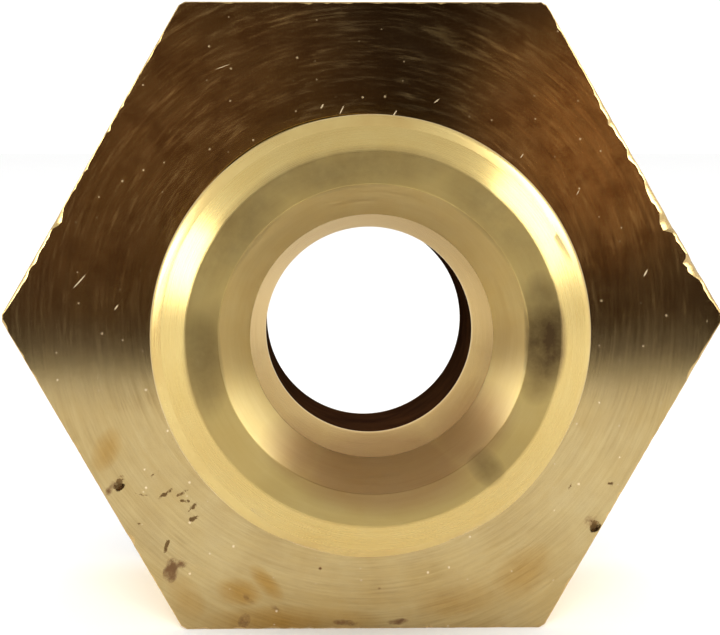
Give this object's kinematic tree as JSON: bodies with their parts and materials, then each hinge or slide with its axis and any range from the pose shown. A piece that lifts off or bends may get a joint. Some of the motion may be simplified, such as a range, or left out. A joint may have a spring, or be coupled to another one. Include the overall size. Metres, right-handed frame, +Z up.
{
  "type": "swivel union hex nut",
  "caption": "Brass hexagon union nut with an internal thread, free to turn and slide on a flanged tail with a male thread and coned bore, and a flat sealing washer.",
  "frame": {"origin": "centre of the footprint's box on the surface the nut stands on, under the middle of the whole length", "axes": "+Z up, normal to the flat the nut stands on; +Y along the axis, out of the nut's open threaded end, so the threaded tail points to -Y; +X to the right seen from the tail's end"},
  "size_m": [0.0237, 0.025, 0.0206],
  "materials": {
    "nut_brass": "turned, lightly tarnished",
    "tail_brass": "turned, bright",
    "washer_fibre": "matt, red vulcanised fibre"
  },
  "bodies": {
    "nut_body": {"hex_nut": "nut_brass"},
    "washer_body": {"sealing_washer": "washer_fibre"},
    "tail_body": {"threaded_tail": "tail_brass"}
  },
  "joints": [
    {"name": "tail_slide", "type": "slide", "parent": "nut_body", "child": "washer_body", "axis": [0, 1, 0], "range_m": [0, 0.01]},
    {"name": "nut_swivel", "type": "hinge", "parent": "washer_body", "child": "tail_body", "pos_m": [0, 0, 0.01032], "axis": [0, 1, 0], "continuous": true}
  ]
}
